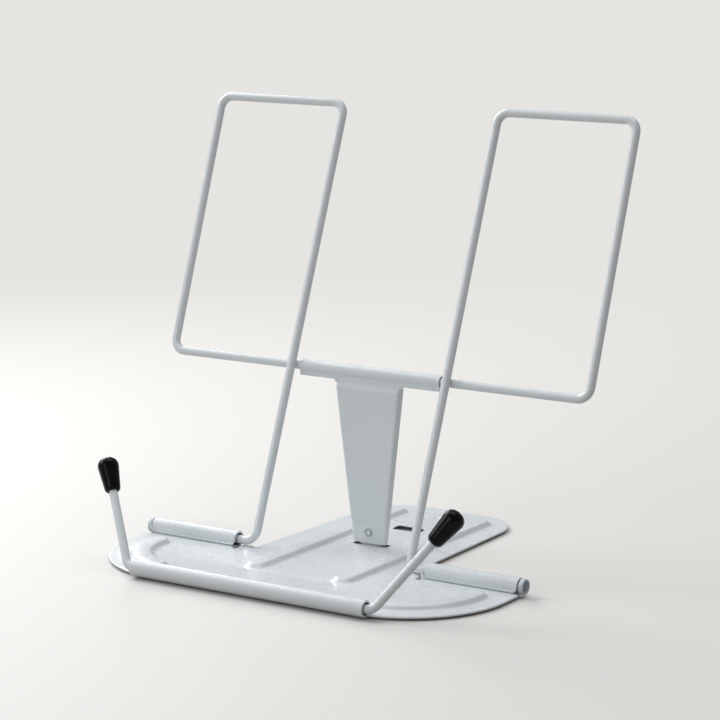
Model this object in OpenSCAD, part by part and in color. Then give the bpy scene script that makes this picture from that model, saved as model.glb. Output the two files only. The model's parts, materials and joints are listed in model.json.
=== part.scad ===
// Folding bookstand rack: a pressed T-shaped base, two hinged wire frames held up by a folding
// prop, and two page arms with soft tips. Sizes are in millimetres. X runs to the right, Y to the
// back and Z up. The origin is on the table, under the middle of the stand's outer box.

/* [Wire] */
// Diameter of the wire of the frames and the page arms
wire_d = 3.5; // [3:0.1:4.2]
// Bend radius of the wire at its centre line
wire_bend = 5; // [4:0.25:6.5]

/* [Base plate] */
// Thickness of the base plate
plate_t = 0.8; // [0.6:0.1:1.2]
// Width over both wings
wing_w = 174.8; // [166:0.2:190]
// Distance from the front rolled edge to the rack's pivot, centre to centre
wing_depth = 57.5; // [52:0.5:66]
// Radius of the rounded wing ends
wing_corner = 42; // [38:1:46]
// Distance from the rack's pivot to the back edge of the tail
tail_len = 95.5; // [90:0.5:110]
// Width of the tail where it leaves the wings
tail_root_w = 73.4; // [70:0.2:78]
// Width of the tail at its back edge
tail_end_w = 67.6; // [62:0.2:70]
// Radius of the tail's back corners
tail_corner = 20; // [12:1:24]
// Radius in the corners between the tail and the wings
root_fillet = 2.5; // [1:0.5:4]

/* [Rolled edges] */
// Length of the front rolled edge
front_curl_len = 107; // [98:0.5:112]
// Length of each rear rolled edge
rear_curl_len = 41.5; // [36:0.5:43]
// Distance by which the rear rolled edges end short of the wings' ends
rear_curl_short = 1.5; // [0.5:0.1:2]
// Length of the notch in the sheet beside the collar of each bush
notch_len = 2.6; // [2.5:0.1:4]
// Width of the relief slit at the inner end of each rear rolled edge
relief_w = 2.5; // [1.5:0.1:3]
// Length of the relief slit in front of the rack's pivot
relief_len = 5.5; // [4.5:0.5:9]

/* [Beads and slots] */
// Height of the pressed beads above the plate
bead_h = 1.4; // [0.8:0.1:1.8]
// Width of the beads at their foot
bead_w = 9.4; // [8:0.1:10.5]
// Width of each sloping side of a bead, seen from above
bead_slope = 2.5; // [1.5:0.1:3.5]
// Distance between the two straight beads, centre to centre
bead_gap = 40; // [36:0.5:44]
// Length of the straight beads in front of the rack's pivot
bead_front = 26.5; // [20:0.5:32]
// Length of the straight beads behind the rack's pivot
bead_back = 86; // [78:0.5:88]
// Radius of the curved beads at their centre line
arc_bead_r = 29; // [27:0.5:31]
// Angle at which the curved beads start, from straight out to the side
arc_bead_start = -74; // [-78:1:-60]
// Angle that the curved beads turn through
arc_bead_sweep = 76; // [50:1:80]
// Front to back width of the two foot slots
slot_w = 5.4; // [4.6:0.1:5.6]
// Length of the slot that holds the foot
slot_near_len = 16; // [15.5:0.5:20]
// Distance from the catch's tongue back to the middle of its slot
slot_near_back = 1.2; // [0.8:0.1:1.4]
// Length of the rear slot
slot_far_len = 13.2; // [11:0.2:16]
// Distance from the rack's pivot to the rear slot
slot_far_y = 58.5; // [50:0.5:66]
// Diameter of the round dimple near the back edge
dimple_d = 3; // [2:0.1:4]
// Depth of the dimple
dimple_deep = 0.35; // [0.2:0.05:0.5]
// Distance from the rack's pivot to the dimple
dimple_y = 81.5; // [74:0.5:84]

/* [Rack] */
// Lean of the rack back from upright
rack_lean = 21.2; // [16:0.1:26]
// Distance from the pivot to the top bars, along the uprights
rack_h = 183.7; // [160:0.5:210]
// Distance from the pivot to the crossbars, along the uprights
cross_h = 74; // [68:0.5:84]
// Distance between the two uprights, centre to centre
upright_gap = 73; // [70:0.5:74]
// Distance between the two outer sides, centre to centre
rack_w = 196; // [184:0.5:216]
// Depth to which the crossbar and the upright are welded into each other
weld_bite = 0.4; // [0.2:0.1:0.8]
// Gap between the two crossbar ends in the middle of the sleeve
cross_end_gap = 3; // [1:0.5:8]

/* [Prop] */
// Thickness of the prop's sheet
prop_t = 0.9; // [0.7:0.1:1.2]
// Backward tilt of the prop from upright
prop_tilt = 1.4; // [0:0.1:4]
// Length of the rolled sleeve
sleeve_len = 65.8; // [56:0.2:66]
// Width of the prop under its neck
prop_top_w = 30.2; // [26:0.2:32]
// Width of the prop at its foot
prop_foot_w = 15.2; // [14:0.2:18]
// Width of the neck at the sleeve
neck_w = 33; // [32:0.5:38]
// Height of the neck under the sleeve's axis
neck_h = 4.8; // [4.7:0.1:8]
// Distance by which the prop steps forward under its neck
web_step = 1; // [0.5:0.1:1.4]
// Depth of the side flanges at the top
flange_top = 3.6; // [3:0.1:6]
// Depth of the side flanges at the foot
flange_foot = 2.4; // [2:0.1:4]
// Radius of the folded lip under the sleeve
sleeve_lip_r = 0.8; // [0.6:0.1:1]
// Gap between the prop's foot and the base plate
foot_gap = 0.3; // [0.2:0.05:0.6]
// Height of the rivet above the prop's foot
rivet_up = 5.1; // [4:0.1:7]
// Diameter of the rivet's head
rivet_head_d = 3.6; // [3:0.1:4.5]
// Diameter of the rivet's shank
rivet_d = 2; // [1.5:0.1:2.4]
// Width of the catch plate behind the prop
catch_w = 10.4; // [9:0.1:11]
// Height of the catch plate above the prop's foot
catch_h = 9.5; // [9:0.5:14]
// Width of the catch's tongue
tongue_w = 8; // [5:0.2:9]
// Length of the tongue below the prop's foot
tongue_len = 1.4; // [1.2:0.05:1.6]

/* [Page arms] */
// Outward lean of the page arms
arm_splay = 31.4; // [20:0.1:40]
// Backward lean of the page arms from upright
arm_back = 28.8; // [10:0.1:40]
// Length of an arm from its bend to the end of its wire
arm_len = 46.4; // [38:0.1:60]
// Distance from the end of the rolled edge to the corner of the arm's bend
arm_corner = 3; // [2.9:0.05:5]
// Length of the arm's straight leg inside the rolled edge
arm_leg = 39; // [38:0.5:46]
// Length of the swaged head that keeps the leg in its liner
arm_head_len = 2; // [1:0.5:3]
// Length of a soft tip
tip_len = 15; // [12:0.2:20]
// Diameter of a soft tip at its shoulder
tip_d = 8.5; // [7:0.1:10]
// Diameter of a soft tip at its mouth
tip_mouth_d = 6.3; // [5.6:0.1:7.5]
// Thickness of the soft tip past the wire's end
tip_cap = 1.6; // [1:0.1:3]
// Radius of the soft tip's rounded end
tip_round = 3; // [1:0.1:3.4]
// Size of the bevel round the tip's mouth
tip_bevel = 0.5; // [0.2:0.1:0.8]

/* [Bushes, liners and pads] */
// Wall of the bushes and liners round the wire
bush_wall = 0.68; // [0.4:0.02:1]
// Length of a pivot bush inside its rolled edge
bush_len = 34; // [20:0.5:35]
// Diameter of the bush's collar
collar_d = 6.2; // [5.8:0.1:7]
// Length of the bush's collar
collar_len = 1.9; // [1:0.1:3]
// Gap between the rolled edge and the collar
collar_gap = 0.6; // [0.2:0.1:1.5]
// Wall of the collar round its open mouth
collar_wall = 0.75; // [0.4:0.05:1]
// Length of an arm liner
liner_len = 28; // [15:0.5:29]
// Distance from the end of the rolled edge to the arm liner
liner_in = 6; // [3:0.5:6]
// Diameter of the rubber pads
pad_d = 9; // [6:0.2:9.4]
// Thickness of the rubber pads
pad_t = 0.8; // [0.8:0.1:2]
// Distance between the two front pads, centre to centre
pad_front_gap = 86; // [80:0.5:88]
// Distance from the front rolled edge to the front pads
pad_front_in = 11; // [8:0.5:13]
// Distance from the rack's pivot to the tail pads
pad_tail_y = 66; // [40:0.5:72]

/* [Hidden] */
$fn = 48;

PAINT = [0.80, 0.85, 0.88];
NYLON = [0.72, 0.76, 0.79];
BLACK = [0.06, 0.06, 0.07];
RUBBER = [0.25, 0.26, 0.28];

// Clearances of a turning fit and of a pressed seat
run_fit = 0.05;
seat_fit = 0.02;
// Depth by which joined solids overlap, and by which a cutter runs past a face
bite = 0.2;
cut = 1;
hair = 0.01;

// The sheet's edges are rolled round the bushes, a hair lower than the plate
wire_r = wire_d / 2;
bush_bore_r = wire_r + run_fit;
bush_r = bush_bore_r + bush_wall;
curl_bore_r = bush_r + seat_fit;
curl_r = curl_bore_r + plate_t;
curl_sink = 0.1;

// Heights above the table
plate_z = pad_t;
plate_top = plate_z + plate_t;
pivot_z = plate_z + curl_r - curl_sink;

// Places in the base, measured from the rack's pivot
mid_y = (tail_len - wing_depth - curl_r) / 2;
wing_x = wing_w / 2;
wing_centre = [wing_x - wing_corner, wing_corner - wing_depth];
rear_curl_out = wing_x - rear_curl_short;
rear_curl_in = rear_curl_out - rear_curl_len;
front_curl_x = front_curl_len / 2;

// The prop hangs from the crossbars, which pass behind the uprights
cross_back = wire_d - weld_bite;
hang_y = cross_h * sin(rack_lean) + cross_back * cos(rack_lean);
hang_z = pivot_z + cross_h * cos(rack_lean) - cross_back * sin(rack_lean);
sleeve_r = wire_r + run_fit + prop_t;
web_sink = 0.08;
neck_front = web_sink - sleeve_r;
neck_back = neck_front + prop_t;
web_front = neck_front - web_step;
web_back = neck_back - web_step;
prop_len = (hang_z - plate_top - foot_gap) / cos(prop_tilt);
tongue_y = hang_y + prop_len * sin(prop_tilt) + (web_back + prop_t / 2) * cos(prop_tilt);
slot_near_y = tongue_y + slot_near_back;

// A page arm turns up out of the front rolled edge
arm_turn = 90 - arm_splay;
arm_leg_x = front_curl_x + arm_corner - bend_take(arm_turn) - arm_leg;
arm_run = arm_len - bend_take(arm_turn);

function tail_half(y) = (tail_root_w + (tail_end_w - tail_root_w) * y / tail_len) / 2;

// Length of wire that a bend takes from each of the two runs that it joins
function bend_take(angle) = wire_bend * tan(angle / 2);

// Moves what is drawn about the rack's pivot to the stand's own origin
module stand() translate([0, -mid_y, 0]) children();

// Turns a right-hand piece into the left-hand one
module left_side() mirror([1, 0, 0]) children();

// A cylinder that lies along X, from one place to another
module bar(r, from, to) translate([from, 0, 0]) rotate([0, 90, 0]) cylinder(h = to - from, r = r);

// A wire is drawn the way it is bent: fed along Z, turned about itself, and bent towards X
module fed(length) {
    cylinder(h = length, r = wire_r);
    translate([0, 0, length]) children();
}

module past_bend(angle)
    translate([wire_bend, 0, 0]) rotate([0, angle, 0]) translate([-wire_bend, 0, 0]) children();

module bent(angle) {
    translate([wire_bend, 0, 0]) rotate([90, 0, 180])
        rotate_extrude(angle = angle) translate([wire_bend, 0]) circle(r = wire_r);
    past_bend(angle) children();
}

// ---- Base ----

module tail_outline() {
    slant = atan((tail_root_w - tail_end_w) / 2 / tail_len);
    corner_y = tail_len - tail_corner;
    corner_x = tail_half(corner_y) - tail_corner / cos(slant);
    side_x = corner_x + tail_corner * cos(slant);
    side_y = corner_y + tail_corner * sin(slant);
    for (s = [-1, 1]) translate([s * corner_x, corner_y]) circle(r = tail_corner);
    polygon([[-tail_half(-relief_len), -relief_len], [tail_half(-relief_len), -relief_len],
        [side_x, side_y], [corner_x, tail_len], [-corner_x, tail_len], [-side_x, side_y]]);
}

// Rounds the inner corner between the tail and a wing
module root_corner() {
    side_x = tail_half(0);
    difference() {
        translate([side_x - bite, -bite]) square(root_fillet + bite);
        translate([side_x + root_fillet, root_fillet]) circle(r = root_fillet);
    }
}

module wing_outline() intersection() {
    translate([-wing_x, -wing_depth]) square([wing_w, wing_depth]);
    union() {
        for (s = [-1, 1]) translate([s * wing_centre[0], wing_centre[1]]) circle(r = wing_corner);
        translate([-wing_centre[0], -wing_depth]) square([2 * wing_centre[0], wing_depth]);
        translate([-wing_x, wing_centre[1]]) square([wing_w, -wing_centre[1]]);
        translate([-front_curl_x, -wing_depth]) square([front_curl_len, curl_r]);
    }
}

module relief_slit() translate([rear_curl_in - relief_w / 2, relief_w / 2 - relief_len]) {
    circle(d = relief_w);
    translate([-relief_w / 2, 0]) square([relief_w, relief_len + cut]);
}

// Clears the bush's collar, and rounds the corner of the wing beside it
module collar_notch() translate([rear_curl_out, -notch_len - rear_curl_short]) difference() {
    square([rear_curl_short + cut, rear_curl_short + notch_len + cut]);
    circle(r = rear_curl_short);
}

module plate_outline() difference() {
    union() {
        wing_outline();
        tail_outline();
        for (s = [0, 1]) mirror([s, 0]) root_corner();
    }
    for (s = [0, 1]) mirror([s, 0]) {
        relief_slit();
        collar_notch();
    }
}

// Half of a bead's cross-section: flat top, slope, and a foot that reaches into the plate
module bead_half(half)
    polygon([[0, -bite], [half, -bite], [half, 0], [half - bead_slope, bead_h], [0, bead_h]]);

module bead_profile(half) for (s = [0, 1]) mirror([s, 0]) bead_half(half);

module bead_end(half) rotate_extrude(angle = 180) bead_half(half);

module straight_bead(half) {
    run = bead_front + bead_back - bead_w;
    translate([bead_gap / 2, bead_back - bead_w / 2, 0]) {
        rotate([90, 0, 0]) linear_extrude(run) bead_profile(half);
        bead_end(half);
        translate([0, -run, 0]) rotate([0, 0, 180]) bead_end(half);
    }
}

// The round ends of a curved bead are a hair narrower, and sit cleanly in the faces of its run
module arc_bead(half)
    translate([wing_centre[0], wing_centre[1], 0]) rotate([0, 0, arc_bead_start]) {
        rotate_extrude(angle = arc_bead_sweep) translate([arc_bead_r, 0]) bead_profile(half);
        for (a = [0, arc_bead_sweep])
            rotate([0, 0, a]) translate([arc_bead_r, 0, 0])
                rotate_extrude() bead_half(half - hair);
    }

// The four beads, as the ridges on the plate or as the hollows under them
module beads(half) for (s = [0, 1]) mirror([s, 0, 0]) {
    straight_bead(half);
    arc_bead(half);
}

module foot_slot(y, length) {
    corner_r = slot_w / 4;
    translate([0, y, plate_z - cut]) linear_extrude(plate_t + 2 * cut) {
        square([length - 2 * corner_r, slot_w], center = true);
        square([length, slot_w - 2 * corner_r], center = true);
        for (a = [-1, 1], b = [-1, 1])
            translate([a * (length / 2 - corner_r), b * (slot_w / 2 - corner_r)])
                circle(r = corner_r);
    }
}

module dimple() {
    ball_r = (dimple_d * dimple_d / 4 + dimple_deep * dimple_deep) / (2 * dimple_deep);
    translate([0, dimple_y, plate_top + ball_r - dimple_deep]) sphere(r = ball_r);
}

module rolled_edges(r, extra) {
    translate([0, -wing_depth, pivot_z]) bar(r, -front_curl_x - extra, front_curl_x + extra);
    for (s = [0, 1]) mirror([s, 0, 0])
        translate([0, 0, pivot_z]) bar(r, rear_curl_in - extra, rear_curl_out + extra);
}

module base_plate() {
    // The hollow under a bead keeps the sheet's thickness in its slopes
    hollow_in = plate_t * tan(atan(bead_h / bead_slope) / 2);
    color(PAINT) stand() difference() {
        union() {
            translate([0, 0, plate_z]) linear_extrude(plate_t) plate_outline();
            translate([0, 0, plate_top]) beads(bead_w / 2);
            rolled_edges(curl_r, 0);
        }
        rolled_edges(curl_bore_r, cut);
        translate([0, 0, plate_z]) beads(bead_w / 2 - hollow_in);
        foot_slot(slot_near_y, slot_near_len);
        foot_slot(slot_far_y, slot_far_len);
        dimple();
    }
}

// A bush with a collar, in the outer end of a rear rolled edge, for the rack's leg to turn in
module pivot_bush() {
    inner_x = rear_curl_out - bush_len;
    neck_x = rear_curl_out + collar_gap;
    end_x = neck_x + collar_len;
    color(NYLON) stand() translate([0, 0, pivot_z]) difference() {
        union() {
            bar(bush_r, inner_x, neck_x + collar_len / 2);
            bar(collar_d / 2, neck_x, end_x);
        }
        bar(bush_bore_r, inner_x - cut, end_x + cut);
        bar(collar_d / 2 - collar_wall, neck_x, end_x + cut);
    }
}

module pivot_bush_right() pivot_bush();
module pivot_bush_left() left_side() pivot_bush();

// A plain liner in the front rolled edge, in which a page arm's leg turns
module arm_liner() {
    outer_x = front_curl_x - liner_in;
    inner_x = outer_x - liner_len;
    color(NYLON) stand() translate([0, -wing_depth, pivot_z]) difference() {
        bar(bush_r, inner_x, outer_x);
        bar(bush_bore_r, inner_x - cut, outer_x + cut);
    }
}

module arm_liner_right() arm_liner();
module arm_liner_left() left_side() arm_liner();

module pad(x, y) color(RUBBER) stand() translate([x, y, 0]) cylinder(h = pad_t, d = pad_d);

module pad_front_right() pad(pad_front_gap / 2, pad_front_in - wing_depth);
module pad_front_left() left_side() pad_front_right();
module pad_tail_right() pad((tail_half(pad_tail_y) + bead_gap / 2 + bead_w / 2) / 2, pad_tail_y);
module pad_tail_left() left_side() pad_tail_right();

// ---- Rack ----

// One wire makes a whole frame: its leg turns in the base, its upright carries the book, its top
// bar and outer side make the loop, and its crossbar passes behind the upright into the sleeve
module rack_frame() {
    leg_end = rear_curl_out - collar_gap / 2;
    corner = bend_take(90);
    drop = rack_h - cross_h;
    tuck = atan(cross_back / drop);
    color(PAINT) stand() translate([0, 0, pivot_z]) rotate([-rack_lean, 0, 0])
        translate([leg_end, 0, 0]) rotate([0, -90, 0])
            fed(leg_end - upright_gap / 2 - corner) bent(90)
            fed(rack_h - 2 * corner) bent(90)
            fed((rack_w - upright_gap) / 2 - 2 * corner) rotate([0, 0, tuck]) bent(90)
            fed(norm([drop, cross_back]) - 2 * corner) bent(90)
            fed(rack_w / 2 - corner - cross_end_gap / 2);
}

module frame_right() rack_frame();
module frame_left() left_side() rack_frame();

// ---- Prop ----

// Moves what is drawn about the sleeve's axis, hanging down, to its place on the crossbars
module hung() translate([0, hang_y, hang_z]) rotate([prop_tilt, 0, 0]) children();

// A hole or a shank through the prop's foot, from front to back
module through_foot(r, from, to)
    translate([0, to, rivet_up - prop_len]) rotate([90, 0, 0]) cylinder(h = to - from, r = r);

module side_flange() {
    fall = prop_len - neck_h;
    shift = (prop_top_w - prop_foot_w) / 2;
    length = norm([fall, shift]);
    translate([prop_top_w / 2, web_front, -neck_h]) rotate([0, atan(shift / fall), 0])
        translate([-prop_t, 0, 0]) rotate([90, 0, 90]) linear_extrude(prop_t)
            polygon([[0, 0], [flange_top, 0], [flange_foot, -length], [0, -length]]);
}

// The flat front of the prop: a neck that tapers off the sleeve, and a web between the flanges
module web_outline() {
    neck_x = neck_w / 2;
    top_x = prop_top_w / 2;
    foot_x = prop_foot_w / 2;
    taper_z = -sleeve_r - neck_x + top_x;
    tuck_in = prop_t / 2;
    polygon([[-neck_x, 0], [neck_x, 0], [neck_x, -sleeve_r], [top_x, taper_z],
        [top_x, -neck_h], [-top_x, -neck_h], [-top_x, taper_z], [-neck_x, -sleeve_r]]);
    polygon([[-top_x + tuck_in, -neck_h + bite], [top_x - tuck_in, -neck_h + bite],
        [foot_x - tuck_in, -prop_len], [-foot_x + tuck_in, -prop_len]]);
}

// The same sheet seen from the side: it steps forward under the neck
module web_section() {
    step_z = web_step - neck_h;
    back_drop = prop_t * tan(45 / 2);
    polygon([[neck_front, 0], [neck_front, step_z], [web_front, -neck_h],
        [web_front, -prop_len], [web_back, -prop_len], [web_back, -neck_h - back_drop],
        [neck_back, step_z - back_drop], [neck_back, 0]]);
}

module web() intersection() {
    translate([0, neck_back + cut, 0]) rotate([90, 0, 0])
        linear_extrude(web_step + prop_t + 2 * cut) web_outline();
    translate([-neck_w / 2 - cut, 0, 0]) rotate([90, 0, 90])
        linear_extrude(neck_w + 2 * cut) web_section();
}

module prop_arm() {
    half = sleeve_len / 2;
    color(PAINT) stand() hung() difference() {
        union() {
            bar(sleeve_r, -half, half);
            translate([0, neck_back, -sleeve_r]) bar(sleeve_lip_r, -half, half);
            web();
            for (s = [0, 1]) mirror([s, 0, 0]) side_flange();
        }
        bar(wire_r + run_fit, -half - cut, half + cut);
        through_foot(rivet_d / 2 + seat_fit, web_front - cut, web_back + cut);
    }
}

// The catch is riveted behind the foot, and its tongue drops into the base's slot
module foot_catch() color(PAINT) stand() hung() difference() {
    translate([0, web_back + prop_t, -prop_len]) rotate([90, 0, 0]) linear_extrude(prop_t) {
        translate([-catch_w / 2, 0]) square([catch_w, catch_h]);
        translate([-tongue_w / 2, -tongue_len]) square([tongue_w, tongue_len + bite]);
    }
    through_foot(rivet_d / 2 + seat_fit, web_back - cut, web_back + prop_t + cut);
}

// A rivet with a dished head in front and a flat one behind the catch
module foot_rivet() {
    head_h = 0.6;
    head_r = rivet_head_d / 2;
    back = web_back + prop_t;
    color(PAINT) stand() hung() difference() {
        union() {
            through_foot(head_r, web_front - head_h, web_front);
            through_foot(rivet_d / 2, web_front - head_h / 2, back + head_h / 2);
            through_foot((head_r + rivet_d / 2) / 2, back, back + head_h);
        }
        through_foot(head_r / 2, web_front - head_h - cut, web_front - head_h / 3);
    }
}

// ---- Page arms ----

// Moves what is drawn along Z to the inner end of an arm's leg
module arm_leg_start() stand() translate([0, -wing_depth, pivot_z]) rotate([-arm_back, 0, 0])
    translate([arm_leg_x, 0, 0]) rotate([0, 90, 0]) rotate([0, 0, 180]) children();

// Past its bend the wire is drawn a hair thinner, so that its end sits cleanly in the bend's face
module page_arm() color(PAINT) arm_leg_start() {
    cylinder(h = arm_head_len, r = bush_bore_r + bush_wall / 2);
    fed(arm_leg) bent(arm_turn)
        translate([0, 0, -bite]) cylinder(h = arm_run + bite, r = wire_r - hair);
}

module page_arm_right() page_arm();
module page_arm_left() left_side() page_arm();

module tip_profile() {
    shoulder = tip_len - tip_round;
    end_r = tip_d / 2;
    difference() {
        union() {
            polygon([[0, 0], [tip_mouth_d / 2 - tip_bevel, 0], [tip_mouth_d / 2, tip_bevel],
                [end_r, shoulder], [0, shoulder]]);
            intersection() {
                translate([0, shoulder - bite]) square([end_r, tip_round + bite]);
                union() {
                    translate([end_r - tip_round, shoulder]) circle(r = tip_round);
                    translate([0, shoulder - bite]) square([end_r - tip_round, tip_round + bite]);
                }
            }
        }
        translate([-cut, -cut]) square([cut + wire_r + seat_fit, cut + tip_len - tip_cap]);
    }
}

// A soft tip pushed over the end of an arm's wire
module arm_tip() color(BLACK) arm_leg_start() translate([0, 0, arm_leg]) past_bend(arm_turn)
    translate([0, 0, arm_run + tip_cap - tip_len]) rotate_extrude() tip_profile();

module arm_tip_right() arm_tip();
module arm_tip_left() left_side() arm_tip();

base_plate();
pivot_bush_left();
pivot_bush_right();
arm_liner_left();
arm_liner_right();
pad_front_left();
pad_front_right();
pad_tail_left();
pad_tail_right();
frame_left();
frame_right();
prop_arm();
foot_catch();
foot_rivet();
page_arm_left();
page_arm_right();
arm_tip_left();
arm_tip_right();
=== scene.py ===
"""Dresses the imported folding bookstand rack: its pieces, its finishes and a plain studio.

Shapes are written in millimetres. Y is measured from the rack's pivot, as on the part itself, and
each piece is moved to the stand's own origin and scaled to metres when its mesh is made.
"""

import json
import logging
import math
from dataclasses import dataclass, field
from enum import Enum
from typing import Callable

import bmesh
import bpy
from mathutils import Matrix, Vector
from mathutils.geometry import tessellate_polygon

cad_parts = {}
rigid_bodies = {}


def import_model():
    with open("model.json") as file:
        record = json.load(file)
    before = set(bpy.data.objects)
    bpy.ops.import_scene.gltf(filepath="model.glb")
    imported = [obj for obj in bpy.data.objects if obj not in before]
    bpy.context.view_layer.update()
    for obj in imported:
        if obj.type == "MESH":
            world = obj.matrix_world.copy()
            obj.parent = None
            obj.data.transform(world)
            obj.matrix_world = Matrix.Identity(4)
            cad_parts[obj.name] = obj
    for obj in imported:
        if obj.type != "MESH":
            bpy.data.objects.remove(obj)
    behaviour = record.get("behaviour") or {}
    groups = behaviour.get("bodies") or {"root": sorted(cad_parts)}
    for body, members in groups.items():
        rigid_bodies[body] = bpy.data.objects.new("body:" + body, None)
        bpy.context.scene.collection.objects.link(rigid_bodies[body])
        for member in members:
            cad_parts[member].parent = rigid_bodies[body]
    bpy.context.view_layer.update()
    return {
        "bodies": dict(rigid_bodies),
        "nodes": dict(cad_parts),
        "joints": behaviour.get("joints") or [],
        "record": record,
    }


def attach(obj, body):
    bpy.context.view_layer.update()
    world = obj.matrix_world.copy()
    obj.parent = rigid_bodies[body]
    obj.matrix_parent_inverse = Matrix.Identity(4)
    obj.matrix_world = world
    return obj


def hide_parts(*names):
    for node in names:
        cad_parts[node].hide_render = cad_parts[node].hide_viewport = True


LOG = logging.getLogger("bookstand")
Pair = tuple[float, float]
Triple = tuple[float, float, float]
Piece = bpy.types.Object
Socket = bpy.types.NodeSocket

MM = 0.001
# Points closer than this are one point, and edges shorter than the second value are dropped
SAME_POINT = 1e-4
TINY_EDGE = 1e-5
# The stand's middle, behind the rack's pivot
MID_Y = 17.35
# The height of the axes of the three rolled edges
PIVOT_Z = 4.0
WIRE_R = 1.75
# Half of the plate's width, and where the rear rolled edges end
WING_X = 87.4
REAR_ROLL_X = 85.9
# From the rack's pivot forward to the page arms' pivot
WING_DEPTH = 57.5
RACK_LEAN = math.radians(21.2)


class Side(Enum):
    """The half of the stand that a piece belongs to."""

    LEFT = -1.0
    RIGHT = 1.0

    @property
    def word(self) -> str:
        """The side's name, as the nodes use it."""
        return self.name.lower()


# ---------------------------------------------------------------- mesh making


def smooth_step(t: float) -> float:
    """A soft step from 0 to 1 as t goes from 0 to 1."""
    t = min(1.0, max(0.0, t))
    return t * t * (3.0 - 2.0 * t)


def arc_points(centre: Pair, radius: float, start: float, end: float,
               count: int) -> list[Pair]:
    """Points along a flat arc.

    Args:
        centre: The arc's centre.
        radius: Its radius.
        start: The first angle, in degrees.
        end: The last angle, in degrees.
        count: How many steps the arc is cut into.

    Returns:
        count + 1 points, the ends included.
    """
    out = []
    for i in range(count + 1):
        a = math.radians(start + (end - start) * i / count)
        out.append((centre[0] + radius * math.cos(a), centre[1] + radius * math.sin(a)))
    return out


@dataclass
class Shell:
    """The points and faces of a piece while it is being made, in millimetres."""

    points: list[Vector] = field(default_factory=list)
    faces: list[tuple[int, ...]] = field(default_factory=list)

    def ring(self, points: list[Vector]) -> list[int]:
        """Adds points and gives their numbers.

        Args:
            points: The points, in order.

        Returns:
            One number for each point.
        """
        first = len(self.points)
        self.points.extend(points)
        return list(range(first, first + len(points)))

    def skin(self, a: list[int], b: list[int], closed: bool = True) -> None:
        """Joins two rings of the same length with four-sided faces.

        Args:
            a: The first ring.
            b: The second ring.
            closed: Whether the last point joins the first.
        """
        count = len(a) if closed else len(a) - 1
        for i in range(count):
            j = (i + 1) % len(a)
            self.faces.append((a[i], a[j], b[j], b[i]))

    def loft(self, rings: list[list[int]]) -> None:
        """Joins each closed ring to the next one."""
        for a, b in zip(rings, rings[1:]):
            self.skin(a, b)

    def circle(self, centre: Vector, across: Vector, up: Vector, radius: float,
               sides: int) -> list[int]:
        """Adds the points of a circle.

        Args:
            centre: The circle's centre.
            across: The direction of its first point.
            up: The direction that lies a quarter turn further.
            radius: Its radius.
            sides: How many points it has.

        Returns:
            The points' numbers.
        """
        turns = [2.0 * math.pi * k / sides for k in range(sides)]
        return self.ring([centre + (across * math.cos(a) + up * math.sin(a)) * radius
                          for a in turns])

    def fill(self, ring: list[int]) -> None:
        """Closes a ring with one face."""
        self.faces.append(tuple(ring))

    def fill_flat(self, rings: list[list[int]]) -> None:
        """Fills a level region inside the first ring and outside the others.

        Args:
            rings: The outer ring, then one ring for each hole.
        """
        flat = [[Vector((self.points[i].x, self.points[i].y, 0.0)) for i in r] for r in rings]
        numbers = [i for r in rings for i in r]
        for tri in tessellate_polygon(flat):
            self.faces.append(tuple(numbers[i] for i in tri))

    def grid(self, rows: list[list[Vector]]) -> list[list[int]]:
        """Adds rows of points and joins each row to the next.

        Args:
            rows: Rows of points, all of one length.

        Returns:
            The numbers of the points, row by row.
        """
        numbers = [self.ring(r) for r in rows]
        for a, b in zip(numbers, numbers[1:]):
            self.skin(a, b, closed=False)
        return numbers

    def make(self, name: str, side: Side = Side.RIGHT, sharp: float = 40.0) -> Piece:
        """Turns the shell into an object in the stand's frame.

        Args:
            name: The piece's name.
            side: LEFT mirrors a piece that was drawn on the right.
            sharp: Edges with a bend above this many degrees stay crisp.

        Returns:
            The new object, linked to the scene.
        """
        mesh = bpy.data.meshes.new(name)
        mesh.from_pydata([tuple(p) for p in self.points], [], self.faces)
        bm = bmesh.new()
        bm.from_mesh(mesh)
        bmesh.ops.remove_doubles(bm, verts=bm.verts, dist=SAME_POINT)
        bmesh.ops.dissolve_degenerate(bm, edges=bm.edges, dist=TINY_EDGE)
        for v in bm.verts:
            v.co = Vector((v.co.x * side.value, v.co.y - MID_Y, v.co.z)) * MM
        bmesh.ops.recalc_face_normals(bm, faces=bm.faces)
        bm.to_mesh(mesh)
        bm.free()
        mesh.polygons.foreach_set("use_smooth", [True] * len(mesh.polygons))
        mesh.set_sharp_from_angle(angle=math.radians(sharp))
        piece = bpy.data.objects.new(name, mesh)
        bpy.context.scene.collection.objects.link(piece)
        return piece


def sweep(shell: Shell, path: list[Vector], radii: list[float], sides: int = 28) -> None:
    """Sweeps a circle along a path and closes both ends.

    Args:
        shell: The shell that takes the tube.
        path: The centre line.
        radii: The radius at each point of the path.
        sides: How many sides the circle has.
    """
    tangents = []
    for i in range(len(path)):
        a, b = path[max(i - 1, 0)], path[min(i + 1, len(path) - 1)]
        tangents.append((b - a).normalized())
    across = tangents[0].orthogonal().normalized()
    rings = []
    for point, tangent, radius in zip(path, tangents, radii):
        across = (across - tangent * across.dot(tangent)).normalized()
        rings.append(shell.circle(point, across, tangent.cross(across), radius, sides))
    shell.loft(rings)
    shell.fill(rings[0])
    shell.fill(rings[-1])


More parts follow.
